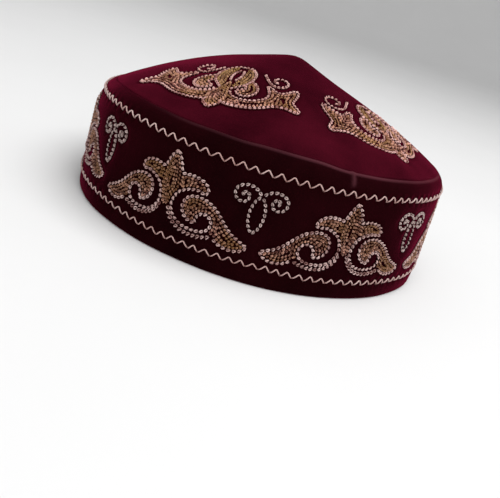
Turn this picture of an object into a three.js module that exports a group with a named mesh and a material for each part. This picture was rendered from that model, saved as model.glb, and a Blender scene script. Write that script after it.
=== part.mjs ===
// A velvet skullcap: an upright side band with a rounded shoulder, and a low
// domed crown sewn onto the shoulder. Millimetres, +Z up, the front faces -Y.
// The origin is on the floor, under the middle of the rim.

import * as THREE from 'three';

// Sizes of the side band.
const RIM_RADIUS = 93.4; // outer radius at the rim, a head of 57 to 58 cm
const BAND_HEIGHT = 58.6; // rim to seam, at the front
const BAND_TAPER = 1.6; // how far the band leans in up to its shoulder
const SHOULDER_RISE = 8.6; // height of the rounded shoulder under the seam
const SHOULDER_INSET = 4.9; // how far the seam lies inside the shoulder's foot
const SEAM_DROP = 3.5; // how much lower the seam lies at the back
const HEM_ROUND = 0.7; // rounding of the folded hem's outer edge
const OVAL_DEPTH = 0.5; // the rim's extra reach to front and back
const WAVE_DEPTH = 0.3; // soft unevenness of the rim's cloth
const WAVE_COUNT = 6;

// Sizes of the crown.
const CROWN_RISE = 29.8; // seam to peak, at the front

// Cloth: velvet over a quilted backing, sewn edge to edge.
const WALL = 2.4;
const SEAM_GAP = 0.3;
const SEAM_THICKENING = 0.3; // extra share of the wall where it is sewn

const SEGMENTS = 72;
const BAND_STEPS = 8;
const SHOULDER_STEPS = 6;
const CROWN_STEPS = 13;

const BAND_COLOUR = new THREE.Color().setRGB(0.15, 0.022, 0.05, THREE.SRGBColorSpace);
const CROWN_COLOUR = new THREE.Color().setRGB(0.235, 0.034, 0.086, THREE.SRGBColorSpace);
const VELVET_ROUGHNESS = 0.92;

// The band under its shoulder: height as a share of the straight part, and
// how far in as a share of the taper.
const BAND_SECTIONS = [
  { up: 0.0, inward: 0.0 },
  { up: 0.18, inward: -0.12 },
  { up: 0.58, inward: 0.56 },
  { up: 1.0, inward: 1.0 },
];

// The shoulder: height as a share of its rise, inward as a share of its inset.
const SHOULDER_SECTIONS = [
  { up: 0.0, inward: 0.0 },
  { up: 0.35, inward: 0.12 },
  { up: 0.65, inward: 0.36 },
  { up: 0.85, inward: 0.67 },
  { up: 1.0, inward: 1.0 },
];

// The crown: distance from its middle as a share of the seam's radius, and
// height over the seam as a share of the rise.
const CROWN_SECTIONS = [
  { out: 0.0, rise: 1.0 },
  { out: 0.05, rise: 0.98 },
  { out: 0.12, rise: 0.925 },
  { out: 0.25, rise: 0.815 },
  { out: 0.4, rise: 0.693 },
  { out: 0.55, rise: 0.55 },
  { out: 0.7, rise: 0.389 },
  { out: 0.82, rise: 0.25 },
  { out: 0.92, rise: 0.118 },
  { out: 1.0, rise: 0.0 },
];

const SHOULDER_RADIUS = RIM_RADIUS - BAND_TAPER;
const SEAM_RADIUS = SHOULDER_RADIUS - SHOULDER_INSET;
const STRAIGHT_HEIGHT = BAND_HEIGHT - SHOULDER_RISE;
const SEAM_FACE = WALL * (1 + SEAM_THICKENING);

/** Smooth samples of a table, from its first row to its last. */
function sample(rows, across, along, steps) {
  const curve = new THREE.SplineCurve(rows.map((row) => new THREE.Vector2(row[across], row[along])));
  return curve.getPoints(steps);
}

/** Share of the seam's drop that is felt in direction theta, 0 at the front. */
function dropShare(theta) {
  return (1 - Math.cos(theta)) / 2;
}

/** Extra radius of the uneven rim in direction theta, fading out up the band. */
function unevenness(theta, height) {
  const fade = 1 - height / BAND_HEIGHT;
  const oval = OVAL_DEPTH * Math.cos(2 * theta);
  const wave = WAVE_DEPTH * Math.sin(WAVE_COUNT * theta + 0.6);
  return fade * (oval + wave);
}

/** The closed outline of the band's wall, as x = radius and y = height. */
function bandProfile() {
  const edge = SEAM_RADIUS + SEAM_GAP / 2;
  const straight = sample(BAND_SECTIONS, 'inward', 'up', BAND_STEPS);
  const shoulder = sample(SHOULDER_SECTIONS, 'inward', 'up', SHOULDER_STEPS);
  const side = (inset, topInset, base, rise) => [
    ...straight.map((p) => new THREE.Vector2(RIM_RADIUS - inset - BAND_TAPER * p.x, STRAIGHT_HEIGHT * p.y)),
    ...shoulder.slice(1).map((p) => new THREE.Vector2(base - topInset * p.x, STRAIGHT_HEIGHT + rise * p.y)),
  ];
  const outer = side(0, SHOULDER_RADIUS - edge, SHOULDER_RADIUS, SHOULDER_RISE);
  const innerFoot = SHOULDER_RADIUS - WALL;
  const inner = side(WALL, innerFoot - edge, innerFoot, SHOULDER_RISE - SEAM_FACE);
  outer.splice(0, 1, new THREE.Vector2(RIM_RADIUS - HEM_ROUND, 0), new THREE.Vector2(RIM_RADIUS, HEM_ROUND));
  return [...outer, ...inner.reverse()];
}

/** The outline of the crown's wall, from its outer peak to its inner peak. */
function crownProfile() {
  const edge = SEAM_RADIUS - SEAM_GAP / 2;
  const rows = sample(CROWN_SECTIONS, 'out', 'rise', CROWN_STEPS);
  const outer = rows.map((p) => new THREE.Vector2(edge * p.x, BAND_HEIGHT + CROWN_RISE * p.y));
  const inner = rows.map((p, i) => {
    const depth = WALL * (1 + SEAM_THICKENING * p.x * p.x);
    return new THREE.Vector2(outer[i].x, outer[i].y - depth);
  });
  return [...outer, ...inner.reverse()];
}

/**
 * Turns an outline about the axis into a closed body.
 * place(radius, height, theta) gives each point's true radius and height.
 * Points of the outline with radius 0 become one shared corner.
 */
function turned(outline, closed, place) {
  const positions = [];
  const rings = outline.map((point) => {
    const onAxis = point.x < 1e-6;
    const ring = [];
    for (let i = 0; i < SEGMENTS; i += 1) {
      if (onAxis && i > 0) {
        ring.push(ring[0]);
        continue;
      }
      const theta = (2 * Math.PI * i) / SEGMENTS;
      const { radius, height } = place(point.x, point.y, theta);
      ring.push(positions.length / 3);
      positions.push(radius * Math.sin(theta), -radius * Math.cos(theta), height);
    }
    return ring;
  });
  const index = [];
  const face = (a, b, c) => {
    if (a !== b && b !== c && c !== a) index.push(a, b, c);
  };
  const last = closed ? rings.length : rings.length - 1;
  for (let k = 0; k < last; k += 1) {
    const low = rings[k];
    const high = rings[(k + 1) % rings.length];
    for (let i = 0; i < SEGMENTS; i += 1) {
      const j = (i + 1) % SEGMENTS;
      face(low[i], low[j], high[j]);
      face(low[i], high[j], high[i]);
    }
  }
  const geometry = new THREE.BufferGeometry();
  geometry.setAttribute('position', new THREE.Float32BufferAttribute(positions, 3));
  geometry.setIndex(index);
  geometry.computeVertexNormals();
  return geometry;
}

/** The upright side wall with its flat rim and rounded shoulder. */
function makeBand() {
  const place = (radius, height, theta) => ({
    radius: radius + unevenness(theta, height),
    height: height * (1 - (SEAM_DROP / BAND_HEIGHT) * dropShare(theta)),
  });
  return turned(bandProfile(), true, place);
}

/** The low dome, sewn to the band at its edge. */
function makeCrown() {
  const place = (radius, height, theta) => {
    const out = radius / SEAM_RADIUS;
    return { radius, height: height - SEAM_DROP * dropShare(theta) * out * out };
  };
  return turned(crownProfile().reverse(), false, place);
}

/** A named mesh with a velvet material of its own. */
function piece(name, geometry, colour) {
  const material = new THREE.MeshStandardMaterial({
    color: colour,
    roughness: VELVET_ROUGHNESS,
    metalness: 0,
  });
  const mesh = new THREE.Mesh(geometry, material);
  mesh.name = name;
  return mesh;
}

const skullcap = new THREE.Group();
skullcap.add(piece('band', makeBand(), BAND_COLOUR));
skullcap.add(piece('crown', makeCrown(), CROWN_COLOUR));

export default skullcap;
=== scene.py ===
"""A velvet skullcap with chain-stitch scrolls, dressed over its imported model.

Lengths are millimetres until a mesh is made, and metres from then on. On the
band, x runs round from the front and z is the height there. On the crown, x
and y are the plan. theta is 0 at the front, which faces -Y.
"""

import logging
import math
from dataclasses import dataclass, field
from enum import Enum
from typing import Sequence, Union

import bpy
import numpy as np
from mathutils import Matrix, Vector
from mathutils.kdtree import KDTree


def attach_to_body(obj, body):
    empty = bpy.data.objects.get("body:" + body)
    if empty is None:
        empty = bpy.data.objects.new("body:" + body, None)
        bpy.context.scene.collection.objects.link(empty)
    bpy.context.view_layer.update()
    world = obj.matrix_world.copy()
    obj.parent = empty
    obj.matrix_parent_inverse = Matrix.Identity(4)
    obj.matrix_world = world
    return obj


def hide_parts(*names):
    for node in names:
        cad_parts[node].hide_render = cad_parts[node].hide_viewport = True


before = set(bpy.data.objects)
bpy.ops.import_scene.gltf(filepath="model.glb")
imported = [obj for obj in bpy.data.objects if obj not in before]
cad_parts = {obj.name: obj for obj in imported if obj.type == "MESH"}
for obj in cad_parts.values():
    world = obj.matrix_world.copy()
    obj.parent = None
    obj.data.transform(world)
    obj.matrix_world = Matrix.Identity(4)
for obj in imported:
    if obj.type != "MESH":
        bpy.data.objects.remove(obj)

LOG = logging.getLogger("skullcap")
MM = 0.001
CHART_STEPS = 10
FORM_STEPS = 12
COURSE_STEPS = 8
Colour = tuple[float, float, float]
Point = tuple[float, float]
Chart = tuple[Point, ...]


def spline(points: Sequence[Point], steps: int = CHART_STEPS, closed: bool = False) -> np.ndarray:
    """Rounds off a row of points.

    Args:
        points: the points, one in each row.
        steps: how many samples each stretch gets.
        closed: whether the last point leads back to the first.

    Returns:
        The samples, through every point.
    """
    points = np.asarray(points, float)
    count = len(points)
    share = (np.arange(steps) / steps)[:, None]
    out = []
    for i in range(count if closed else count - 1):
        near = [i - 1, i, i + 1, i + 2]
        a, b, c, d = (points[k % count] if closed else points[min(max(k, 0), count - 1)] for k in near)
        v, w = (c - a) / 2, (d - b) / 2
        cubic = (2 * b - 2 * c + v + w) * share**3
        out.append(cubic + (3 * c - 3 * b - 2 * v - w) * share**2 + v * share + b)
    if not closed:
        out.append(points[-1:])
    return np.concatenate(out)


def arc(line: np.ndarray) -> np.ndarray:
    """The length along a line at each of its points."""
    return np.concatenate([[0.0], np.cumsum(np.linalg.norm(np.diff(line, axis=0), axis=1))])


def unit(vectors: np.ndarray) -> np.ndarray:
    """The vectors at length 1."""
    return vectors / np.maximum(np.linalg.norm(vectors, axis=-1, keepdims=True), 1e-9)


def ease(share: np.ndarray) -> np.ndarray:
    """A soft step from 0 to 1."""
    share = np.clip(share, 0, 1)
    return share * share * (3 - 2 * share)


def lattice(rows: int, columns: int, closed: bool) -> np.ndarray:
    """Faces between rows of points that run round.

    Args:
        rows: how many rows there are.
        columns: how many points each has.
        closed: whether the last row leads back to the first; the faces then
            also turn the other way.

    Returns:
        The four points of each face.
    """
    index = np.arange(rows * columns).reshape(rows, columns)
    ahead = np.roll(index, -1, axis=1)
    if closed:
        around = [index, ahead, np.roll(ahead, -1, axis=0), np.roll(index, -1, axis=0)]
    else:
        around = [index[:-1], index[1:], ahead[1:], ahead[:-1]]
    return np.stack(around, -1).reshape(-1, 4)


class Part(Enum):
    """The two cloths that the cap is made of."""

    BAND = "band"
    CROWN = "crown"


@dataclass(frozen=True)
class CapForm:
    """The cap's outer surfaces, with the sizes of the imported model."""

    rim_radius: float = 93.4
    band_height: float = 58.6
    band_taper: float = 1.6
    shoulder_rise: float = 8.6
    shoulder_inset: float = 4.9
    seam_drop: float = 3.5
    oval_depth: float = 0.5
    wave_depth: float = 0.3
    wave_count: int = 6
    crown_rise: float = 29.8
    wall: float = 2.4
    seam_face: float = 3.0
    chart_radius: float = 91.7
    band_rows: Chart = ((0.0, 0.0), (0.18, -0.12), (0.58, 0.56), (1.0, 1.0))
    shoulder_rows: Chart = ((0.0, 0.0), (0.35, 0.12), (0.65, 0.36), (0.85, 0.67), (1.0, 1.0))
    crown_rows: Chart = (
        (0.0, 1.0), (0.05, 0.98), (0.12, 0.925), (0.25, 0.815), (0.4, 0.693),
        (0.55, 0.55), (0.7, 0.389), (0.82, 0.25), (0.92, 0.118), (1.0, 0.0),
    )
    seam_course: Chart = (
        (-180.0, 1.5), (-140.0, 2.9), (-108.0, 4.3), (-88.0, 4.2), (-70.0, 2.3), (-52.0, 0.9),
        (-31.0, 0.6), (-9.0, 0.2), (0.0, -0.5), (14.0, -0.6), (22.0, 0.5), (30.0, 0.9),
        (55.0, 1.0), (75.0, 1.1), (100.0, 1.3), (140.0, 1.4), (180.0, 1.5),
    )
    sag_foot: float = 49.5
    sag_rise: float = 9.1
    slump: float = 1.35
    slump_lean: float = 1.5
    slump_from: float = 1.05
    slump_over: float = 0.8
    slump_middle: float = 1.75
    slump_fade: float = 1.5
    tuck: float = 2.3
    tuck_at: float = -1.4
    tuck_spread: float = 0.42
    tuck_foot: float = 43.0
    tuck_rise: float = 9.5

    @property
    def shoulder_radius(self) -> float:
        """Radius at the foot of the shoulder."""
        return self.rim_radius - self.band_taper

    @property
    def seam_radius(self) -> float:
        """Radius of the seam between band and crown."""
        return self.shoulder_radius - self.shoulder_inset

    def sag(self, theta: np.ndarray) -> np.ndarray:
        """How far the soft seam sags below its level in direction theta."""
        rows = spline(self.seam_course, COURSE_STEPS)
        turn = np.arctan2(np.sin(theta), np.cos(theta))
        return np.interp(np.degrees(turn), rows[:, 0], rows[:, 1])

    def tucked(self, theta: np.ndarray) -> np.ndarray:
        """How far the seam is drawn in on the cap's right side, in direction theta."""
        turn = np.arctan2(np.sin(theta), np.cos(theta))
        return self.tuck * np.exp(-(((turn - self.tuck_at) / self.tuck_spread) ** 2))

    def band_outline(self) -> tuple[np.ndarray, np.ndarray]:
        """Heights and radii of the band's outside, from rim to seam."""
        straight = self.band_height - self.shoulder_rise
        low = spline(self.band_rows, FORM_STEPS)
        high = spline(self.shoulder_rows, FORM_STEPS)[1:]
        heights = np.concatenate([straight * low[:, 0], straight + self.shoulder_rise * high[:, 0]])
        lower = self.rim_radius - self.band_taper * low[:, 1]
        upper = self.shoulder_radius - self.shoulder_inset * high[:, 1]
        return heights, np.concatenate([lower, upper])

    def band_point(self, x: np.ndarray, z: np.ndarray) -> np.ndarray:
        """Points on the outside of the band.

        Args:
            x: place round the band.
            z: height, as it is at the front.

        Returns:
            The points, in millimetres.
        """
        theta = x / self.chart_radius
        heights, radii = self.band_outline()
        fade = 1 - z / self.band_height
        oval = self.oval_depth * np.cos(2 * theta)
        wave = self.wave_depth * np.sin(self.wave_count * theta + 0.6)
        radius = np.interp(z, heights, radii) + fade * (oval + wave)
        height = z * (1 - self.seam_drop / self.band_height * (1 - np.cos(theta)) / 2)
        radius = radius - self.tucked(theta) * ease((z - self.tuck_foot) / self.tuck_rise)
        height = height - self.sag(theta) * ease((z - self.sag_foot) / self.sag_rise)
        return np.stack([radius * np.sin(theta), -radius * np.cos(theta), height], -1)

    def crown_point(self, x: np.ndarray, y: np.ndarray) -> np.ndarray:
        """Points on the outside of the crown.

        Args:
            x: plan place to the cap's left.
            y: plan place to the back.

        Returns:
            The points, in millimetres.
        """
        share = np.hypot(x, y) / self.seam_radius
        rows = spline(self.crown_rows, FORM_STEPS)
        rise = np.interp(share, rows[:, 0], rows[:, 1])
        drop = self.seam_drop * (share**2 + share * y / self.seam_radius) / 2
        theta = np.arctan2(x, -y)
        behind = ease((np.abs(theta) - self.slump_from) / self.slump_over)
        hollow = behind * (self.slump + self.slump_lean * np.sin(theta))
        hollow = hollow * (1 - (2 * share - 1) ** 4) * (self.slump_middle - self.slump_fade * share)
        height = self.band_height + self.crown_rise * rise - drop - self.sag(theta) * share**2 - hollow
        draw = 1 - self.tucked(theta) * share**2 / self.seam_radius
        return np.stack([x * draw, y * draw, height], -1)

    def place(self, part: Part, at: np.ndarray, lift: np.ndarray) -> tuple[np.ndarray, np.ndarray]:
        """Carries chart points onto a cloth.

        Args:
            part: the cloth.
            at: chart points in the last axis.
            lift: distance above the cloth of each.

        Returns:
            The points and the directions out of the cloth there.
        """
        surface = self.band_point if part is Part.BAND else self.crown_point
        x, y = at[..., 0], at[..., 1]
        step = 0.4
        along = surface(x + step, y) - surface(x - step, y)
        across = surface(x, y + step) - surface(x, y - step)
        out = unit(np.cross(along, across))
        return surface(x, y) + out * np.asarray(lift)[..., None], out


FORM = CapForm()


class Socket:
    """A value in a shader, on which sums are written as Python expressions."""

    def __init__(self, shader: "Shader", link: bpy.types.NodeSocket) -> None:
        """Keeps the shader and the socket that the value comes from."""
        self.shader = shader
        self.link = link

    def math(self, operation: str, first: "Entry", second: "Entry" = 0.0) -> "Socket":
        """Adds one Math node.

        Args:
            operation: the node's operation.
            first: its first value.
            second: its second value.

        Returns:
            The node's result.
        """
        return self.shader.node("ShaderNodeMath", {"operation": operation}, {0: first, 1: second})

    def __add__(self, other: "Entry") -> "Socket":
        """The sum."""
        return self.math("ADD", self, other)

    def __radd__(self, other: "Entry") -> "Socket":
        """The sum, the other way round."""
        return self.math("ADD", other, self)

    def __sub__(self, other: "Entry") -> "Socket":
        """The difference."""
        return self.math("SUBTRACT", self, other)

    def __rsub__(self, other: "Entry") -> "Socket":
        """The difference, the other way round."""
        return self.math("SUBTRACT", other, self)

    def __mul__(self, other: "Entry") -> "Socket":
        """The product."""
        return self.math("MULTIPLY", self, other)

    def __rmul__(self, other: "Entry") -> "Socket":
        """The product, the other way round."""
        return self.math("MULTIPLY", other, self)

    def sine(self) -> "Socket":
        """The sine."""
        return self.math("SINE", self)


Entry = Union[Socket, float, int, tuple]


class Shader:
    """A material and its nodes, round one Principled shader."""

    def __init__(self, name: str) -> None:
        """Makes an empty material of that name."""
        self.material = bpy.data.materials.new(name)
        self.material.use_nodes = True
        self.tree = self.material.node_tree
        self.tree.nodes.clear()

    def node(self, kind: str, settings: dict, inputs: dict, output: Union[int, str] = 0) -> Socket:
        """Adds one node.

        Args:
            kind: the node's type.
            settings: its properties, and the stops of a ramp, which are set first.
            inputs: values or links by socket name or number.
            output: the socket that is handed back.

        Returns:
            That socket.
        """
        made = self.tree.nodes.new(kind)
        for key, value in settings.items():
            if key == "stops":
                self.stops(made.color_ramp, value)
            else:
                setattr(made, key, value)
        for key, value in inputs.items():
            if isinstance(value, Socket):
                self.tree.links.new(value.link, made.inputs[key])
            else:
                made.inputs[key].default_value = value
        return Socket(self, made.outputs[output])

    @staticmethod
    def stops(ramp: bpy.types.ColorRamp, stops: tuple[tuple[float, float], ...]) -> None:
        """Sets a grey ramp's stops, each a place and a level."""
        for place, level in stops[1:-1]:
            ramp.elements.new(place)
        for element, (place, level) in zip(ramp.elements, stops):
            element.position = place
            element.color = (level, level, level, 1.0)

    def noise(self, scale: float, detail: float, where: Socket) -> Socket:
        """A noise of that many features to the metre, from 0 to 1."""
        inputs = {"Vector": where, "Scale": scale, "Detail": detail, "Roughness": 0.55}
        return self.node("ShaderNodeTexNoise", {}, inputs)

    def ramp(self, value: Socket, *stops: tuple[float, float]) -> Socket:
        """A value led through a grey ramp."""
        return self.node("ShaderNodeValToRGB", {"stops": stops}, {"Fac": value})

    def mix(self, share: Entry, first: Union[Socket, Colour], second: Union[Socket, Colour]) -> Socket:
        """Mixes two colours.

        Args:
            share: how much of the second shows.
            first: the first colour.
            second: the second colour.

        Returns:
            The mixed colour.
        """
        first = first if isinstance(first, Socket) else (*first, 1.0)
        second = second if isinstance(second, Socket) else (*second, 1.0)
        settings = {"data_type": "RGBA", "clamp_factor": True}
        return self.node("ShaderNodeMix", settings, {0: share, 6: first, 7: second}, 2)

    def bump(self, height: Socket, distance: float) -> Socket:
        """The normal of a surface with that relief, in metres."""
        inputs = {"Height": height, "Distance": distance, "Strength": 1.0}
        return self.node("ShaderNodeBump", {}, inputs)

    def attribute(self, name: str) -> Socket:
        """A number that the mesh carries on its points."""
        settings = {"attribute_type": "GEOMETRY", "attribute_name": name}
        return self.node("ShaderNodeAttribute", settings, {}, "Fac")

    def place(self) -> Socket:
        """The place on the piece, in metres."""
        return self.node("ShaderNodeTexCoord", {}, {}, "Object")

    def split(self, vector: Socket) -> tuple[Socket, Socket, Socket]:
        """The three parts of a vector."""
        first = self.node("ShaderNodeSeparateXYZ", {}, {"Vector": vector})
        outputs = first.link.node.outputs
        return first, Socket(self, outputs[1]), Socket(self, outputs[2])

    def finish(self, inputs: dict) -> bpy.types.Material:
        """Adds the Principled shader and the output.

        Args:
            inputs: values or links by socket name.

        Returns:
            The material.
        """
        surface = self.node("ShaderNodeBsdfPrincipled", {}, inputs)
        out = self.tree.nodes.new("ShaderNodeOutputMaterial")
        self.tree.links.new(surface.link, out.inputs["Surface"])
        return self.material


@dataclass(frozen=True)
class Velvet:
    """Cotton velvet: dark straight on, glowing where it is seen along the pile."""

    name: str
    deep: Colour
    nap: Colour
    glow: Colour = (0.62, 0.03, 0.11)
    # Painted highlight: the colour that the seam ridge and the crease are lightened towards, where light
    # catches the pile.
    highlighted: Colour = (0.085, 0.024, 0.032)
    # Painted shade: the colour that the velvet is darkened towards round the stitches.
    flat: Colour = (0.012, 0.0008, 0.0015)
    sheen: float = 0.42
    sheen_roughness: float = 0.32
    patch_scale: float = 46.0
    drift_scale: float = 17.0
    tuft_scale: float = 1500.0
    pile_scale: float = 3400.0
    relief: float = 0.00022

    def build(self) -> bpy.types.Material:
        """The material, darkened as painted shade round the stitches, where the mesh's pressed value is
        high, and lightened as a painted highlight along the seam ridge and the crease.
        """
        shader = Shader(self.name)
        where = shader.place()
        patches = shader.ramp(shader.noise(self.patch_scale, 3.0, where), (0.32, 0.0), (0.68, 1.0))
        drift = shader.ramp(shader.noise(self.drift_scale, 2.0, where), (0.35, 0.0), (0.65, 1.0))
        tufts = shader.noise(self.tuft_scale, 2.0, where)
        pile = shader.noise(self.pile_scale, 2.0, where)
        pressed = shader.attribute("pressed")
        painted_highlight = shader.attribute("painted_highlight")
        share = 0.45 * patches + 0.4 * drift + 0.55 * tufts - 0.2
        brushed = shader.mix(share, self.deep, self.nap)
        # Painted highlight along the seam ridge and the crease, from the mesh's highlight value.
        highlighted = shader.mix(painted_highlight * (0.4 + 0.6 * drift), brushed, self.highlighted)
        # Painted shade round the stitches, where the threads press the pile down.
        colour = shader.mix(0.75 * pressed, highlighted, self.flat)
        height = 0.55 * tufts + 0.45 * pile
        return shader.finish(
            {
                "Base Color": colour,
                "Roughness": 0.86 + 0.1 * tufts,
                "Specular IOR Level": 0.0,
                "Sheen Weight": self.sheen,
                "Sheen Roughness": self.sheen_roughness,
                "Sheen Tint": (*self.glow, 1.0),
                "Normal": shader.bump(height, self.relief),
            }
        )


@dataclass(frozen=True)
class Backing:
    """The cloth's plain woven back, inside the cap."""

    name: str
    warp: Colour
    weft: Colour
    pitch: float = 0.8
    slub_scale: float = 240.0
    relief: float = 0.0002

    def build(self) -> bpy.types.Material:
        """The material, woven along the mesh's own coordinates."""
        shader = Shader(self.name)
        across, along, _ = shader.split(shader.node("ShaderNodeUVMap", {"uv_map": "weave"}, {}))
        turn = 2 * math.pi / self.pitch
        over = (across * turn).sine() * (along * turn).sine()
        slub = shader.noise(self.slub_scale, 3.0, shader.place())
        colour = shader.mix(0.5 + 0.35 * over + 0.4 * (slub - 0.5), self.warp, self.weft)
        return shader.finish(
            {
                "Base Color": colour,
                "Roughness": 0.9,
                "Specular IOR Level": 0.2,
                "Normal": shader.bump(0.5 * over + 0.5 * slub, self.relief),
            }
        )


class Yarn(Enum):
    """The embroidery threads: where each is dim, bright and faded."""

    PEARL = ((0.11, 0.046, 0.040), (0.66, 0.51, 0.48), (0.34, 0.24, 0.22))
    SILVER = ((0.12, 0.024, 0.020), (0.76, 0.55, 0.515), (0.38, 0.19, 0.165))
    GOLD = ((0.08, 0.008, 0.005), (0.62, 0.315, 0.23), (0.27, 0.125, 0.025))
    ROSE = ((0.15, 0.024, 0.021), (0.98, 0.61, 0.56), (0.50, 0.20, 0.165))
    CROWN_GOLD = ((0.11, 0.014, 0.008), (0.70, 0.37, 0.19), (0.40, 0.225, 0.03))
    PEACH = ((0.13, 0.013, 0.010), (0.90, 0.44, 0.335), (0.45, 0.235, 0.05))


@dataclass(frozen=True)
class Thread:
    """Twisted embroidery thread; each stitch has a tone of its own, painted darker as shade where the
    thread dips into the cloth.
    """

    yarn: Yarn
    roughness: float = 0.4
    twists: float = 0.85
    plies: float = 2.0
    fuzz_scale: float = 2600.0
    drift_scale: float = 70.0
    relief: float = 0.00012

    def build(self) -> bpy.types.Material:
        """The material, twisted along the mesh's own coordinates."""
        dim, bright, faded = self.yarn.value
        shader = Shader(self.yarn.name.lower() + "_thread")
        along, around, _ = shader.split(shader.node("ShaderNodeUVMap", {"uv_map": "twist"}, {}))
        ply = ((along * self.twists + around * self.plies) * (2 * math.pi)).sine()
        tone = shader.attribute("tone")
        fuzz = shader.noise(self.fuzz_scale, 2.0, shader.place())
        drift = shader.noise(self.drift_scale, 2.0, shader.place())
        drift = shader.ramp(drift, (0.35, 0.0), (0.65, 1.0))
        lit = shader.mix(tone + 0.35 * (fuzz - 0.5) + 0.12 * ply, dim, bright)
        return shader.finish(
            {
                "Base Color": shader.mix(0.6 * drift, lit, faded),
                "Roughness": self.roughness + 0.2 * (fuzz - 0.5),
                "Specular IOR Level": 0.5,
                "Normal": shader.bump(0.5 + 0.35 * ply + 0.3 * fuzz, self.relief),
            }
        )


@dataclass(frozen=True)
class Paper:
    """The studio's pale matte floor."""

    name: str = "studio_paper"
    pale: Colour = (0.78, 0.78, 0.78)
    paler: Colour = (0.82, 0.82, 0.82)
    cloud_scale: float = 6.0

    def build(self) -> bpy.types.Material:
        """The material."""
        shader = Shader(self.name)
        cloud = shader.noise(self.cloud_scale, 3.0, shader.place())
        return shader.finish(
            {
                "Base Color": shader.mix(cloud, self.pale, self.paler),
                "Roughness": 0.8,
                "Specular IOR Level": 0.1,
            }
        )


@dataclass
class Mesh:
    """Numbers on their way to a Blender mesh, in millimetres."""

    points: np.ndarray
    faces: list
    numbers: dict[str, np.ndarray] = field(default_factory=dict)
    corners: dict[str, np.ndarray] = field(default_factory=dict)

    def build(self, name: str, materials: list[bpy.types.Material]) -> bpy.types.Object:
        """Makes the object.

        Args:
            name: its name.
            materials: its materials, in order.

        Returns:
            The object, linked to the scene and shaded smooth.
        """
        data = bpy.data.meshes.new(name)
        data.from_pydata((self.points * MM).tolist(), [], self.faces)
        for key, values in self.numbers.items():
            layer = data.attributes.new(key, "FLOAT", "POINT").data
            layer.foreach_set("value", values.ravel().astype(np.float32))
        for key, values in self.corners.items():
            data.uv_layers.new(name=key).data.foreach_set("uv", values.ravel().astype(np.float32))
        data.polygons.foreach_set("use_smooth", np.ones(len(data.polygons), bool))
        for material in materials:
            data.materials.append(material)
        data.update()
        made = bpy.data.objects.new(name, data)
        bpy.context.scene.collection.objects.link(made)
        return made


class Threads:
    """Stitches of one thread on one cloth, gathered into one mesh."""

    sides: int = 5
    lit_from: float = 0.42
    lit_slope: float = 0.9

    def __init__(self, part: Part, seed: int) -> None:
        """Starts with no stitches.

        Args:
            part: the cloth that is sewn.
            seed: what the unevenness of the stitches comes from.
        """
        self.part = part
        self.random = np.random.default_rng(seed)
        self.rows: list[tuple[np.ndarray, np.ndarray, float, np.ndarray]] = []

    def add(self, loops: np.ndarray, lifts: np.ndarray, radius: float, tones: np.ndarray) -> None:
        """Adds closed loops of thread.

        Args:
            loops: chart points of each loop, as loops by points by 2.
            lifts: height of each point over the cloth.
            radius: the thread's radius.
            tones: how bright each loop is, from 0 to 1.
        """
        self.rows.append((loops, lifts, radius, tones))

    def count(self) -> int:
        """How many loops there are."""
        return sum(len(loops) for loops, *_ in self.rows)

    def footprint(self) -> np.ndarray:
        """Where the thread lies on the cloth, as points in space."""
        at = np.concatenate([loops.reshape(-1, 2) for loops, *_ in self.rows])
        return FORM.place(self.part, at, np.zeros(len(at)))[0]

    def twist(self, centre: np.ndarray) -> np.ndarray:
        """Coordinates along and round the tubes, at the corners of their faces."""
        gaps = np.linalg.norm(np.roll(centre, -1, axis=1) - centre, axis=2)[:, :, None]
        run = np.cumsum(gaps, axis=1)
        turn = np.arange(self.sides) / self.sides
        before, after, low, high = np.broadcast_arrays(run - gaps, run, turn, turn + 1 / self.sides)
        corners = [before, low, after, low, after, high, before, high]
        return np.stack(corners, -1).reshape(-1, 2)

    def mesh(self) -> Mesh:
        """The tubes along all the loops."""
        points, faces, tones, twists = [], [], [], []
        start = 0
        turn = 2 * math.pi * np.arange(self.sides) / self.sides
        for loops, lifts, radius, shades in self.rows:
            centre, out = FORM.place(self.part, loops, lifts)
            ahead = unit(np.roll(centre, -1, axis=1) - np.roll(centre, 1, axis=1))
            side = unit(np.cross(ahead, out))[:, :, None]
            over = np.cross(side, ahead[:, :, None])
            ring = side * np.cos(turn)[:, None] + over * np.sin(turn)[:, None]
            tube = centre[:, :, None] + ring * radius
            points.append(tube.reshape(-1, 3))
            index = start + np.arange(tube.size // 3).reshape(tube.shape[:3])
            later = np.roll(index, -1, axis=1)
            beside = [index, later, np.roll(later, -1, axis=2), np.roll(index, -1, axis=2)]
            faces.append(np.stack(beside, -1).reshape(-1, 4))
            start += index.size
            # Painted shade: a point's tone darkens where it dips towards or into the cloth, so the sunk
            # ends and the lower arm of each link are painted darker.
            lit = np.clip(shades[:, None] + self.lit_slope * (lifts - self.lit_from), 0, 1)
            tones.append(np.repeat(lit.ravel(), self.sides))
            twists.append(self.twist(centre))
        return Mesh(
            np.concatenate(points),
            np.concatenate(faces).tolist(),
            {"tone": np.concatenate(tones)},
            {"twist": np.concatenate(twists)},
        )


# Half a link of chain, from its foot to its head: share of the pitch, share
# of the half width, and lift over the cloth. The other half lies lower, and
# so is painted darker on that side as painted shade; a slanted link leans
# about its middle.
HALF_LINK = np.array(
    [
        (0.06, 0.0, -0.15), (0.14, 0.32, 0.26), (0.28, 0.66, 0.5), (0.42, 0.92, 0.58),
        (0.55, 1.0, 0.44), (0.65, 0.78, 0.08), (0.69, 0.0, -0.25),
    ]
)
LOW_ARM = 0.5
LEAN_FROM = 0.38

# A fill: the step along its edge, how deep it goes, the longest step within a
# row of links, the fewest points of a row and its shortest share of the pitch.
EDGE_STEP = 0.3
DEEPEST = 12.0
LONGEST_STEP = 1.6
FEWEST_POINTS = 4
SHORTEST_ROW = 0.8


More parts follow.
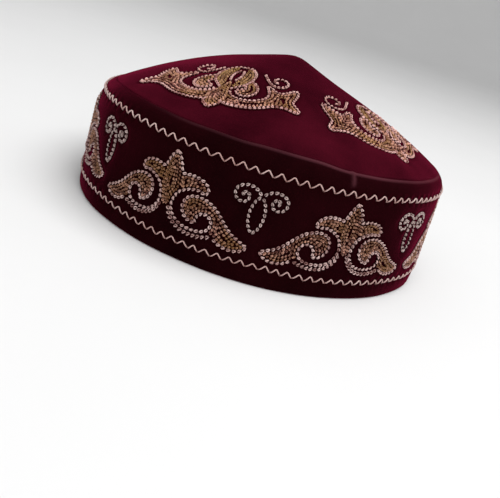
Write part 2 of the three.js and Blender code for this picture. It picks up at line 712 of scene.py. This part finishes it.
@dataclass(frozen=True)
class ChainStitch:
    """One kind of chain stitch: each link comes up inside the one before it."""

    pitch: float
    half_width: float
    thread: float
    tone: float
    spread: float
    jitter: float
    slant: float
    width_spread: float = 0.07
    slant_spread: float = 0.2
    lift_spread: float = 0.1

    def sew(self, threads: Threads, line: np.ndarray, tone: float = 0.0) -> None:
        """Sews a chain along a line.

        Args:
            threads: where the links go.
            line: the chart line, closely sampled.
            tone: how much brighter the chain is than usual.
        """
        random = threads.random
        run = arc(line)
        links = max(1, round(run[-1] / self.pitch))
        stops = np.linspace(0, run[-1], links + 1)
        knots = np.stack([np.interp(stops, run, line[:, k]) for k in range(2)], -1)
        knots[1:-1] += random.normal(0, self.jitter, (links - 1, 2))
        ahead = np.diff(knots, axis=0)
        length = np.linalg.norm(ahead, axis=1)
        ahead = unit(ahead)
        side = np.stack([-ahead[:, 1], ahead[:, 0]], -1)
        loop = np.concatenate([HALF_LINK, HALF_LINK[-2:0:-1] * (1, -1, LOW_ARM)])
        width = self.half_width * (1 + random.normal(0, self.width_spread, links))
        along = loop[None, :, 0] * length[:, None]
        across = loop[None, :, 1] * width[:, None]
        lean = self.slant * (1 + random.normal(0, self.slant_spread, links))
        across = across + lean[:, None] * (loop[None, :, 0] - LEAN_FROM)
        at = knots[:-1, None] + ahead[:, None] * along[..., None] + side[:, None] * across[..., None]
        lifts = loop[None, :, 2] * (1 + random.normal(0, self.lift_spread, links))[:, None]
        shades = np.clip(self.tone + tone + random.normal(0, self.spread, links), 0, 1)
        threads.add(at, lifts, self.thread, shades)

    def fill(
        self, threads: Threads, outline: np.ndarray, inset: float, gap: float, tone: float = 0.0
    ) -> None:
        """Fills a closed outline with chains that follow its edge.

        Args:
            threads: where the links go.
            outline: the closed chart line.
            inset: distance of the first chain from it.
            gap: distance between chains.
            tone: how much brighter the chains are than usual.
        """
        ring = np.concatenate([outline, outline[:1]])
        run = arc(ring)
        stops = np.arange(0, run[-1], EDGE_STEP)
        edge = np.stack([np.interp(stops, run, ring[:, k]) for k in range(2)], -1)
        ahead = unit(np.roll(edge, -2, axis=0) - np.roll(edge, 2, axis=0))
        after = np.roll(edge, -1, axis=0)
        turned = np.sum(edge[:, 0] * after[:, 1] - edge[:, 1] * after[:, 0])
        inward = np.stack([-ahead[:, 1], ahead[:, 0]], -1) * (1 if turned > 0 else -1)
        depth = inset
        while depth < DEEPEST:
            moved = edge + inward * depth
            near = np.min(np.linalg.norm(moved[:, None] - edge[None], axis=2), axis=1)
            good = near > depth - EDGE_STEP
            if not good.any():
                break
            first = -int(np.argmin(good))
            moved, good = np.roll(moved, first, axis=0), np.roll(good, first)
            jumps = np.linalg.norm(np.diff(moved, axis=0), axis=1) >= LONGEST_STEP
            cuts = np.flatnonzero(jumps | ~good[1:] | ~good[:-1]) + 1
            for row, usable in zip(np.split(moved, cuts), np.split(good, cuts)):
                long = len(row) >= FEWEST_POINTS and arc(row)[-1] > self.pitch * SHORTEST_ROW
                if usable.all() and long:
                    self.sew(threads, row, tone)
            depth += gap


OUTLINE = ChainStitch(2.25, 0.42, 0.275, 0.76, 0.26, 0.06, 0.5)
KEEL = ChainStitch(2.1, 0.6, 0.26, 0.5, 0.26, 0.06, 0.8)
INFILL = ChainStitch(1.6, 0.32, 0.225, 0.35, 0.44, 0.15, 0.35)
FINE_OUTLINE = ChainStitch(2.05, 0.38, 0.255, 0.81, 0.34, 0.06, 0.45)
FINE_INFILL = ChainStitch(1.7, 0.32, 0.225, 0.38, 0.5, 0.15, 0.35)


@dataclass(frozen=True)
class Spot:
    """Where one repeat is sewn; hand work, so each half has its own width."""

    axis: float
    lift: float = 0.0
    left: float = 1.0
    right: float = 1.0

    def carry(self, points: np.ndarray, hand: int) -> np.ndarray:
        """Chart points of one half, put in place on the band."""
        wide = hand * (self.right if hand > 0 else self.left)
        return points * (wide, 1) + (self.axis, self.lift)


@dataclass
class LargeMotifs:
    """The big scrolls: a bud, two leaves and two commas that curl from one stem."""

    spots: tuple[Spot, ...] = (
        Spot(45.6, 0.0, 0.955, 0.98),
        Spot(128.5, 0.2, 0.98, 1.02),
        Spot(211.4, 0.0, 1.02, 0.97),
        Spot(294.4, -0.2, 0.99, 1.0),
        Spot(377.3, 0.1, 0.97, 1.01),
        Spot(461.4, 2.0, 0.95, 1.0),
        Spot(539.9, 0.0, 0.88, 1.03),
    )
    bud: Chart = ((0.0, 45.8), (1.6, 43.9), (3.1, 41.6), (4.0, 39.3), (4.2, 37.6))
    leaf: Chart = (
        (4.4, 37.3), (6.6, 37.6), (9.4, 38.1), (12.4, 37.8), (15.2, 36.9), (17.0, 35.2),
        (17.6, 33.0), (16.2, 32.2), (13.4, 32.9), (10.3, 32.3), (7.6, 31.2), (5.2, 29.4),
    )
    cradle: Chart = (
        (5.2, 29.4), (3.9, 27.0), (3.1, 24.6), (3.2, 22.2), (4.2, 19.8), (6.0, 17.8),
        (8.9, 16.2), (12.6, 15.6), (16.2, 15.7), (19.4, 16.5), (21.5, 18.2), (22.2, 20.4),
        (21.8, 22.3), (20.6, 23.7), (18.6, 24.3), (16.7, 23.8), (15.5, 22.5), (15.0, 20.8),
    )
    comma: Chart = (
        (15.0, 20.8), (15.5, 19.2), (13.6, 18.8), (11.2, 19.6), (9.3, 21.4), (8.3, 24.1),
        (8.6, 26.9), (10.0, 28.9), (12.4, 30.1), (15.4, 30.3), (18.6, 29.7), (21.6, 28.3),
        (24.4, 26.1), (27.0, 23.5), (29.6, 20.9), (32.4, 19.0), (35.4, 17.7), (38.4, 16.2),
    )
    tail: Chart = (
        (38.4, 16.2), (37.4, 14.6), (34.6, 13.4), (31.2, 12.9), (28.2, 13.3), (25.8, 14.4),
        (24.2, 15.6),
    )
    keel: Chart = (
        (22.9, 15.4), (19.8, 14.2), (16.4, 13.6), (12.8, 13.5), (9.4, 14.1), (6.5, 15.4),
        (4.3, 17.3), (2.9, 19.6), (2.2, 21.9),
    )
    stem: Chart = (
        *bud[:3], (4.1, 39.3), (4.7, 36.5), (5.1, 33.5), *cradle[:3], (2.7, 22.0), (0.0, 20.2),
    )
    joint: Chart = ((5.0, 36.2), (5.1, 33.8), (5.1, 31.4))
    fill_rows: tuple[float, float] = (1.4, 1.28)
    stem_tone: float = -0.06
    outlines: Threads = field(default_factory=lambda: Threads(Part.BAND, 11))
    comma_fills: Threads = field(default_factory=lambda: Threads(Part.BAND, 12))
    leaf_fills: Threads = field(default_factory=lambda: Threads(Part.BAND, 13))

    def sew(self) -> None:
        """Sews every repeat round the band."""
        for spot in self.spots:
            for hand in (1, -1):
                self.half(spot, hand)

    def half(self, spot: Spot, hand: int) -> None:
        """Sews one half of a motif.

        Args:
            spot: where the motif stands on the band.
            hand: 1 for the right half and -1 for the left.
        """

        def line(*charts: Chart) -> np.ndarray:
            """The charts joined, rounded off and put in place."""
            points = [p for chart in charts for p in chart]
            points = [p for k, p in enumerate(points) if k == 0 or p != points[k - 1]]
            return spot.carry(spline(points), hand)

        for charts in ((self.bud,), (self.leaf, self.cradle), (self.comma,), (self.tail,)):
            OUTLINE.sew(self.outlines, line(*charts))
        KEEL.sew(self.outlines, line(self.keel))
        comma = np.concatenate([line(self.comma, self.tail), line(self.cradle[9:])])
        INFILL.fill(self.comma_fills, comma, *self.fill_rows)
        INFILL.fill(self.leaf_fills, line(self.leaf, self.leaf[:1]), *self.fill_rows)
        INFILL.sew(self.leaf_fills, line(self.joint), self.stem_tone)
        if hand > 0:
            other = spot.carry(spline(self.stem)[::-1], -1)
            stem = np.concatenate([line(self.stem), other[1:-1]])
            INFILL.fill(self.leaf_fills, stem, *self.fill_rows, self.stem_tone)


@dataclass
class SmallMotifs:
    """The small ornaments between: two curls over a long loop."""

    spots: tuple[Spot, ...] = (
        Spot(3.42),
        Spot(85.4, 0.4, 1.0, 0.96),
        Spot(168.3, 0.2, 0.97, 1.02),
        Spot(251.0, -0.1, 1.0, 0.98),
        Spot(334.2, 0.2, 1.03, 0.97),
        Spot(417.0, 0.6, 0.98, 1.0),
        Spot(499.8, 1.7, 0.84, 0.86),
    )
    curl: Chart = (
        (0.3, 39.6), (1.6, 40.9), (3.5, 42.2), (6.1, 42.7), (8.8, 42.0), (10.8, 40.4),
        (11.4, 38.2), (10.5, 36.1), (8.5, 34.9), (6.2, 35.1), (4.8, 36.6), (4.9, 38.6),
        (6.3, 39.8), (8.0, 39.3), (8.3, 37.8), (7.2, 37.2),
    )
    loop: Chart = (
        (0.4, 39.1), (1.5, 37.8), (2.6, 35.4), (3.2, 31.9), (3.1, 28.8), (2.3, 25.7),
        (0.9, 23.4), (0.0, 22.9),
    )
    outlines: Threads = field(default_factory=lambda: Threads(Part.BAND, 21))

    def sew(self) -> None:
        """Sews every repeat round the band."""
        for spot in self.spots:
            for chart in (self.curl, self.loop):
                line = spline(chart)
                OUTLINE.sew(self.outlines, spot.carry(line[::-1], 1))
                OUTLINE.sew(self.outlines, spot.carry(line, -1))


@dataclass(frozen=True)
class Seat:
    """Where one motif lies on the crown."""

    turn: float
    side: float
    out: float
    lean: float = 0.0
    skew: float = 0.0
    spread: float = 1.0
    hook: float = 1.0
    far: float = 1.0
    press: float = 0.0
    press_reach: float = 13.0
    press_end: float = 25.0

    def carry(self, points: np.ndarray) -> np.ndarray:
        """Chart points of the motif as plan points of the crown."""
        turn, lean = math.radians(self.turn), math.radians(self.lean)
        wide = points[:, 0] * np.where(points[:, 0] < 0, self.spread, self.far)
        middle = np.exp(-((points[:, 0] / self.press_reach) ** 2))
        pressed = self.press * middle * np.maximum(self.press_end - points[:, 1], 0)
        long = points[:, 1] + pressed - self.skew * wide
        side = self.side + wide * math.cos(lean) + long * math.sin(lean)
        out = self.out - wide * math.sin(lean) + long * math.cos(lean)
        x = side * math.cos(turn) + out * math.sin(turn)
        y = side * math.sin(turn) - out * math.cos(turn)
        return np.stack([x, y], -1)


@dataclass
class CrownMotifs:
    """Four palmettes round the peak, each with two pronged scrolls."""

    seats: tuple[Seat, ...] = (
        Seat(-31.0, -3.75, 33.75, 17.3, 0.04, 1.12, 0.78),
        Seat(59.0, 4.9, 35.5, -15.6, 0.0, 1.1, 1.08, 0.78, 0.2),
        Seat(142.0, 0.0, 34.6),
        Seat(217.0, 0.0, 37.2),
    )
    brow: Chart = (
        (0.0, 2.9), (2.6, 2.8), (5.0, 4.9), (7.0, 8.2), (7.9, 12.3), (7.7, 16.8),
        (6.6, 20.6), (4.4, 23.6), (2.2, 26.4),
    )
    curl: Chart = (
        (10.4, 5.4), (12.4, 8.2), (14.8, 11.4), (17.2, 13.4), (20.4, 13.2), (22.9, 10.8),
        (22.8, 7.2), (20.4, 4.8), (17.2, 5.0), (15.8, 7.8), (17.2, 10.0), (19.2, 9.2),
    )
    slot: Chart = ((0.5, 7.0), (1.7, 9.8), (1.9, 14.4), (1.0, 18.4))
    lozenge: Chart = (
        (1.4, 4.2), *brow[1:], (1.2, 22.4), (1.8, 17.6), (2.2, 14.0), (1.8, 9.0),
    )
    comma: Chart = (
        (7.8, 16.0), (10.2, 17.0), (12.5, 19.6), (13.7, 22.9), (13.3, 26.2), (11.6, 28.7),
        (9.0, 29.7), (6.5, 28.8), (5.4, 26.7), (6.7, 24.9), (8.3, 23.9), (8.2, 21.8),
        (6.9, 20.4),
    )
    body: Chart = (
        (2.4, 37.6), (5.2, 38.8), (9.2, 39.0), (13.4, 38.0), (17.6, 36.2), (20.8, 33.6),
        (23.6, 31.0), (26.6, 28.9), (30.4, 27.9), (35.0, 27.8), (35.6, 25.9), (33.4, 24.0),
        (30.6, 21.8), (30.4, 17.0), (29.9, 13.0), (28.6, 10.0), (26.6, 12.6), (25.0, 15.6),
        (23.4, 17.8), (20.6, 17.4), (17.8, 15.6), (15.6, 15.6), (17.6, 18.8), (19.2, 22.2),
        (19.0, 26.0), (16.4, 29.6), (12.6, 32.0), (8.6, 32.6), (5.0, 31.0), (3.0, 27.8),
    )
    bud: Chart = ((3.6, 38.2), (3.0, 41.0), (0.0, 43.7))
    stem: Chart = (
        (0.0, 43.7), (2.8, 41.0), (3.6, 37.8), (4.2, 34.6), (3.9, 31.2), (2.9, 27.6),
        (2.1, 24.0), (1.4, 21.0), (0.0, 18.2),
    )
    brow_tone: float = -0.05
    slot_tone: float = -0.1
    outlines: Threads = field(default_factory=lambda: Threads(Part.CROWN, 31))
    fills: Threads = field(default_factory=lambda: Threads(Part.CROWN, 32))
    leaves: Threads = field(default_factory=lambda: Threads(Part.CROWN, 33))

    def sew(self) -> None:
        """Sews the four motifs."""
        for seat in self.seats:
            for hand in (1, -1):
                self.half(seat, hand)

    def half(self, seat: Seat, hand: int) -> None:
        """Sews one half of a motif.

        Args:
            seat: where the motif lies.
            hand: 1 for the right half and -1 for the left.
        """

        def line(chart: Sequence[Point], closed: bool = False) -> np.ndarray:
            """The chart rounded off and put in place."""
            return seat.carry(spline(chart, closed=closed) * (hand, 1))

        FINE_OUTLINE.sew(self.outlines, line(self.brow), self.brow_tone)
        hook = seat.hook if hand < 0 else 1.0
        FINE_OUTLINE.sew(self.outlines, line([(wide * hook, out) for wide, out in self.curl]))
        FINE_OUTLINE.sew(self.outlines, line(self.slot), self.slot_tone)
        for chart in (self.comma, self.body, self.bud):
            FINE_OUTLINE.sew(self.outlines, line(chart))
        FINE_INFILL.fill(self.leaves, line(self.lozenge, True), 1.35, 1.4)
        FINE_INFILL.fill(self.fills, line(self.comma, True), 1.5, 1.5)
        FINE_INFILL.fill(self.fills, line(self.body, True), 1.55, 1.6)
        if hand > 0:
            other = seat.carry(spline(self.stem)[-2:0:-1] * (-1, 1))
            FINE_INFILL.fill(self.fills, np.concatenate([line(self.stem), other]), 1.0, 1.4)


@dataclass
class ZigzagLine:
    """One thread that runs right round the band in teeth."""

    course: Chart
    height: float
    teeth: int
    seed: int
    thread: float = 0.31
    tone: float = 0.74
    pace_spread: float = 0.045
    height_spread: float = 0.06
    level_spread: float = 0.07
    lift_spread: float = 0.08
    threads: Threads = field(init=False)

    def sew(self) -> None:
        """Sews the line as one closed thread, down in the cloth between teeth."""
        self.threads = Threads(Part.BAND, self.seed)
        rng = self.threads.random
        tooth = np.array(
            [
                (0.0, -0.53, -0.6), (0.06, -0.46, -0.2), (0.17, -0.24, 0.34), (0.3, 0.08, 0.5),
                (0.41, 0.36, 0.48), (0.48, 0.48, 0.38), (0.55, 0.5, 0.32), (0.62, 0.43, 0.38),
                (0.72, 0.18, 0.46), (0.84, -0.14, 0.32), (0.94, -0.42, -0.1),
            ]
        )
        around = 2 * math.pi * FORM.chart_radius
        pitch = around / self.teeth
        starts = (np.arange(self.teeth) + rng.normal(0, self.pace_spread, self.teeth)) * pitch
        widths = np.diff(np.append(starts, starts[0] + around))
        tall = self.height * (1 + rng.normal(0, self.height_spread, self.teeth))
        rows = np.array(self.course)
        x = starts[:, None] + tooth[None, :, 0] * widths[:, None]
        level = np.interp((x + around / 2) % around - around / 2, rows[:, 0], rows[:, 1], period=around)
        level = level + rng.normal(0, self.level_spread, self.teeth)[:, None]
        z = level + tooth[None, :, 1] * tall[:, None]
        lift = tooth[None, :, 2] * (1 + rng.normal(0, self.lift_spread, self.teeth))[:, None]
        at = np.stack([x.ravel(), z.ravel()], -1)[None]
        self.threads.add(at, lift.reshape(1, -1), self.thread, np.array([self.tone]))


UPPER_COURSE: Chart = (
    (-150.0, 50.2), (-90.0, 51.1), (-72.0, 51.1), (-50.0, 50.4), (-30.0, 49.9), (-10.0, 49.5),
    (5.0, 49.3), (30.0, 49.4), (60.0, 49.5), (90.0, 49.5), (150.0, 49.8), (220.0, 50.2),
)
LOWER_COURSE: Chart = (
    (-150.0, 8.4), (-90.0, 8.9), (-75.0, 9.0), (-55.0, 8.4), (-30.0, 8.2), (-12.0, 8.6),
    (0.0, 9.1), (12.0, 9.3), (28.0, 8.9), (45.0, 8.7), (70.0, 8.9), (150.0, 8.6), (220.0, 8.3),
)


@dataclass
class Cloth:
    """One closed velvet shell, pressed in where it is sewn."""

    name: str
    part: Part
    columns: int
    steps: int
    seed: int
    roll: float
    hem: float = 1.2
    collar: float = 4.0
    back_steps: int = 14
    dip: float = 0.42
    dip_reach: float = 1.15
    hollow: float = 0.2
    hollow_reach: float = 3.2
    inside_share: float = 0.25
    ripples: int = 9
    band_ripple: float = 1.6
    crown_ripple: float = 0.09
    crease: float = 40.0
    crease_foot: float = 51.5
    crease_rise: float = 3.0
    crease_stand: float = 0.4
    crease_highlight: float = 0.7
    ridge_from: float = 0.5
    ridge_width: float = 0.45
    ridge_facing: float = 0.9

    def rows(self) -> np.ndarray:
        """Rows of the shell's section: place along it, depth under it and side.

        Returns:
            Each row's place (height, or distance from the middle), its depth
            below the outer surface, and 1 on the inside or 0 on the outside.
        """
        band = self.part is Part.BAND
        edge = FORM.band_height if band else FORM.seam_radius
        foot = self.hem if band else 0.0
        turn = np.linspace(0, math.pi / 2, 6)
        outer = [(at, 0.0, 0.0) for at in np.linspace(foot, edge - self.roll, self.steps)[1:-1]]
        outer += [(edge - self.roll * (1 - math.sin(a)), self.roll * (1 - math.cos(a)), 0.0) for a in turn]
        back = [(at, FORM.wall, 1.0) for at in np.linspace(edge - self.collar, foot, self.back_steps)]
        back = [(edge, FORM.seam_face, 1.0), *back]
        if not band:
            return np.array([*outer, *back[:-1]])
        under = [(foot - foot * math.sin(a), foot - foot * math.cos(a), 0.0) for a in turn[::-1]]
        heel = [(foot - foot * math.sin(a), foot + foot * math.cos(a), 1.0) for a in turn[1:-1]]
        return np.array([*under, *outer, *back, *heel])

    def swell(self, at: np.ndarray, space: np.ndarray) -> np.ndarray:
        """Soft unevenness of the cloth.

        Args:
            at: chart points.
            space: the same points in space.

        Returns:
            How far each point stands out.
        """
        rng = np.random.default_rng(self.seed)
        total = np.zeros(len(at))
        theta = np.arctan2(space[:, 0], -space[:, 1])
        for _ in range(self.ripples):
            waves = rng.integers(3, 26)
            first, second = rng.uniform(0, 2 * math.pi, 2)
            pace = rng.uniform(0.04, 0.16)
            if self.part is Part.BAND:
                up = np.cos(pace * at[:, 1] + second)
                total += np.sin(waves * theta + first) * up * self.band_ripple / (waves + 6)
            else:
                heading = rng.uniform(0, math.pi)
                way = at[:, 0] * math.cos(heading) + at[:, 1] * math.sin(heading)
                total += np.sin(pace * way + first) * self.crown_ripple
        return total

    def build(self, materials: list[bpy.types.Material], sewn: np.ndarray) -> bpy.types.Object:
        """Makes the shell.

        Args:
            materials: velvet, and the backing for the inside.
            sewn: points in space that thread lies on.

        Returns:
            The object.
        """
        rows = self.rows()
        theta = 2 * math.pi * np.arange(self.columns) / self.columns
        along, turn = np.meshgrid(rows[:, 0], theta, indexing="ij")
        depth = np.broadcast_to(rows[:, 1][:, None], along.shape)
        inside = np.broadcast_to(rows[:, 2][:, None], along.shape)
        if self.part is Part.BAND:
            at = np.stack([turn * FORM.chart_radius, along], -1).reshape(-1, 2)
        else:
            at = np.stack([along * np.sin(turn), -along * np.cos(turn)], -1).reshape(-1, 2)
        space, out = FORM.place(self.part, at, np.zeros(len(at)))
        tree = KDTree(len(sewn))
        for k, point in enumerate(sewn):
            tree.insert(point, k)
        tree.balance()
        outer = inside.ravel() < 0.5
        near = np.full(len(space), np.inf)
        near[outer] = [tree.find(point)[2] for point in space[outer]]
        # pressed both sinks the cloth under the threads and darkens it there as painted shade.
        pressed = np.exp(-((near / self.dip_reach) ** 2))
        soft = np.exp(-((near / self.hollow_reach) ** 2))
        swell = self.swell(at, space)
        stand = swell - self.dip * pressed - self.hollow * soft
        rise = np.where(outer, stand, self.inside_share * swell)
        points = space + out * (rise - depth.ravel())[:, None]
        points[:, 2] = np.maximum(points[:, 2], 0.0)
        edge = rows[:, 0].max() - along.ravel()
        painted_highlight = np.zeros(len(space))
        if self.part is Part.BAND:
            fold = np.exp(-((at[:, 0] - self.crease) ** 2))
            fold = fold * ease((at[:, 1] - self.crease_foot) / self.crease_rise)
            points += out * (self.crease_stand * fold * outer)[:, None]
            # Painted highlight: the velvet is lightened along the crest of the seam ridge, most on the
            # side that faces the lights, and along the crease.
            facing = ease(0.15 + 0.85 * np.cos(at[:, 0] / FORM.chart_radius - self.ridge_facing))
            ridge = np.exp(-(((edge - self.ridge_from) / self.ridge_width) ** 2))
            painted_highlight = outer * np.minimum(1, ridge * facing + self.crease_highlight * fold)
        faces, corners = self.skin(len(rows), at)
        mesh = Mesh(points, faces, {"pressed": pressed * outer, "painted_highlight": painted_highlight}, {"weave": corners})
        made = mesh.build(self.name, materials)
        marks = [int(not any(outer[corner] for corner in face)) for face in faces]
        made.data.polygons.foreach_set("material_index", marks)
        return made

    def skin(self, count: int, at: np.ndarray) -> tuple[list, np.ndarray]:
        """Faces between the rows.

        Args:
            count: how many rows there are.
            at: chart points, for the weave's coordinates.

        Returns:
            The faces, and the weave's coordinates at their corners.
        """
        closed = self.part is Part.BAND
        quads = lattice(count, self.columns, closed)
        faces = quads.tolist()
        if not closed:
            ends = [np.arange(self.columns), np.arange(len(at))[-self.columns :][::-1]]
            return [*faces, *(end.tolist() for end in ends)], at[np.concatenate([quads.ravel(), *ends])]
        corners = at[quads]
        girth = 2 * math.pi * FORM.chart_radius
        across_start = np.ptp(corners[:, :, 0], axis=1) > girth / 2
        corners[across_start, 1:3, 0] += girth
        return faces, corners.reshape(-1, 2)


@dataclass
class Studio:
    """A pale floor that curves up all round, and two soft lights."""

    floor_radius: float = 2.2
    wall_radius: float = 4.0
    wall_height: float = 2.6
    segments: int = 64
    sky: float = 0.5

    def build(self) -> None:
        """Makes the floor, the lights and the sky."""
        rows = [(r, 0.0) for r in np.linspace(0.1, self.floor_radius, 8)]
        reach = self.wall_radius - self.floor_radius
        for share in np.linspace(0, 1, 16)[1:]:
            turn = share * math.pi / 2
            out = self.floor_radius + reach * math.sin(turn)
            rows.append((out, self.wall_height * (1 - math.cos(turn))))
        turns = 2 * math.pi * np.arange(self.segments) / self.segments
        points = [(r * math.cos(t), r * math.sin(t), z) for r, z in rows for t in turns]
        faces = lattice(len(rows), self.segments, False).tolist()
        mesh = Mesh(np.array(points) / MM, [*faces, list(range(self.segments))])
        mesh.build("studio_floor", [Paper().build()])
        self.light("key", (0.35, -0.2, 1.25), 1.1, 15.0)
        self.light("front", (0.46, -2.0, 0.83), 1.4, 11.8)
        world = bpy.data.worlds.new("studio")
        world.use_nodes = True
        inputs = world.node_tree.nodes["Background"].inputs
        inputs["Color"].default_value = (1.0, 1.0, 1.0, 1.0)
        inputs["Strength"].default_value = self.sky
        bpy.context.scene.world = world
        bpy.context.scene.view_settings.view_transform = "Standard"

    def light(self, name: str, at: tuple[float, float, float], size: float, power: float) -> None:
        """Adds one soft light.

        Args:
            name: its name.
            at: where it hangs, in metres.
            size: its width.
            power: its power, in watts.
        """
        data = bpy.data.lights.new(name, "AREA")
        data.size = size
        data.energy = power
        lamp = bpy.data.objects.new(name, data)
        lamp.location = at
        lamp.rotation_mode = "QUATERNION"
        lamp.rotation_quaternion = (Vector((0, 0, 0.04)) - Vector(at)).to_track_quat("-Z", "Y")
        bpy.context.scene.collection.objects.link(lamp)


@dataclass(frozen=True)
class PhotoCamera:
    """The photograph's view: from the front, a little above and rolled."""

    elevation: float = 12.51
    distance: float = 0.37555
    roll: float = 17.48
    yaw: float = 1.0
    pitch: float = -8.55
    aim: float = 0.04
    lens: float = 50.03

    def build(self) -> None:
        """Makes the camera and hands it to the scene."""
        rise = math.radians(self.elevation)
        back = Vector((0, -math.cos(rise), math.sin(rise)))
        right = Vector((1, 0, 0))
        up = right.cross(-back)
        aside = right * math.tan(math.radians(self.yaw))
        tilt = up * math.tan(math.radians(self.pitch))
        ahead = (-back + aside + tilt).normalized()
        level = ahead.cross(up).normalized()
        upright = level.cross(ahead)
        turn = math.radians(self.roll)
        x_axis = level * math.cos(turn) + upright * math.sin(turn)
        y_axis = upright * math.cos(turn) - level * math.sin(turn)
        data = bpy.data.cameras.new("photo_camera")
        data.lens = self.lens
        data.sensor_width = 36.0
        data.clip_start = 0.01
        camera = bpy.data.objects.new("photo_camera", data)
        turned = Matrix((x_axis, y_axis, -ahead)).transposed().to_4x4()
        camera.matrix_world = Matrix.Translation(Vector((0, 0, self.aim)) + back * self.distance) @ turned
        bpy.context.scene.collection.objects.link(camera)
        bpy.context.scene.camera = camera


class Wardrobe:
    """Every finish of the cap."""

    def __init__(self) -> None:
        """Builds the materials."""
        # Painted shade: the band's velvet is given darker colours than the crown's, for the band faces
        # sideways, away from the light above.
        self.band = Velvet("band_velvet", (0.005, 0.0009, 0.0012), (0.016, 0.0017, 0.0029)).build()
        self.crown = Velvet("crown_velvet", (0.014, 0.0010, 0.0026), (0.056, 0.0034, 0.0094)).build()
        self.backing = Backing("backing_weave", (0.060, 0.012, 0.020), (0.12, 0.03, 0.04)).build()
        self.threads = {yarn: Thread(yarn).build() for yarn in Yarn}


def attach(piece: bpy.types.Object, what: str) -> None:
    """Lets a piece ride on the cap and reports it.

    Args:
        piece: the piece.
        what: what to say about it.
    """
    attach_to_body(piece, "root")
    piece.data.calc_loop_triangles()
    LOG.info("%s: %s, %d triangles", piece.name, what, len(piece.data.loop_triangles))


def main() -> None:
    """Builds the studio, the threads and the two cloths in order."""
    logging.basicConfig(level=logging.INFO, format="%(message)s")
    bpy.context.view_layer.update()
    PhotoCamera().build()
    Studio().build()
    wardrobe = Wardrobe()

    large, small, palmettes = LargeMotifs(), SmallMotifs(), CrownMotifs()
    upper = ZigzagLine(UPPER_COURSE, 2.4, 106, 41)
    lower = ZigzagLine(LOWER_COURSE, 2.3, 112, 42)
    for group in (large, small, palmettes, upper, lower):
        group.sew()
    sewn = {
        "band_scroll_outlines": (large.outlines, Yarn.SILVER),
        "band_comma_fill": (large.comma_fills, Yarn.GOLD),
        "band_leaf_fill": (large.leaf_fills, Yarn.GOLD),
        "band_small_motifs": (small.outlines, Yarn.PEARL),
        "upper_zigzag": (upper.threads, Yarn.SILVER),
        "lower_zigzag": (lower.threads, Yarn.SILVER),
        "crown_motif_outlines": (palmettes.outlines, Yarn.ROSE),
        "crown_motif_fill": (palmettes.fills, Yarn.PEACH),
        "crown_leaf_fill": (palmettes.leaves, Yarn.CROWN_GOLD),
    }
    pieces = {Part.BAND: [], Part.CROWN: []}
    for name, (threads, yarn) in sewn.items():
        piece = threads.mesh().build(name, [wardrobe.threads[yarn]])
        attach(piece, f"{threads.count()} stitches")
        pieces[threads.part].append(piece)

    disc = math.pi * 0.091**2
    cloths = (
        (Cloth("band_cloth", Part.BAND, 720, 70, 51, 0.6), wardrobe.band, (0.59, 0.066), None),
        (Cloth("crown_cloth", Part.CROWN, 440, 88, 52, 0.45), wardrobe.crown, (0.182, 0.182), disc),
    )
    for cloth, velvet, flat, area in cloths:
        marks = np.concatenate([t.footprint() for t, _ in sewn.values() if t.part is cloth.part])
        piece = cloth.build([velvet, wardrobe.backing], marks)
        attach(piece, "velvet shell")
        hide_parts(cloth.part.value)


if __name__ == "__main__":
    main()
